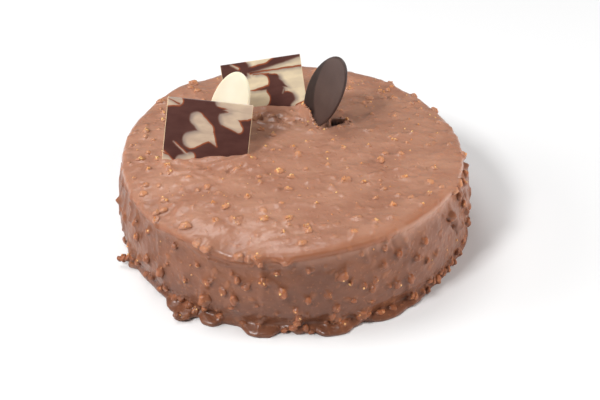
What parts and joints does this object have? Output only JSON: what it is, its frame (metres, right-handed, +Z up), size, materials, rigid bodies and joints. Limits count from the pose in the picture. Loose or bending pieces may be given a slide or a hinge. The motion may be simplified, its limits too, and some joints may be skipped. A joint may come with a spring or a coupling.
{
  "type": "whole round chocolate hazelnut cake",
  "caption": "Round uncut cake under nubbly milk chocolate and hazelnut glaze, with square marbled and oval plain chocolate decorations standing in its top.",
  "frame": {"origin": "centre of the cake's flat underside, on the surface it rests on", "axes": "+Z up; -Y is the front, the side that the square plaque nearest the rim faces; +X to the right of it"},
  "size_m": [0.214, 0.2163, 0.1031],
  "materials": {
    "glaze": "glossy milk chocolate glaze over chopped hazelnuts",
    "marbled_chocolate": "satin dark chocolate marbled with cream-coloured chocolate",
    "marbled_light": "satin cream-coloured chocolate marbled with dark chocolate",
    "white_chocolate": "smooth satin white chocolate",
    "dark_chocolate": "smooth dark chocolate with a soft bloom"
  },
  "bodies": {
    "root": {"cake": "glaze", "plaque_front": "marbled_chocolate", "plaque_back": "marbled_light", "oval_white": "white_chocolate", "oval_dark": "dark_chocolate"}
  },
  "joints": []
}
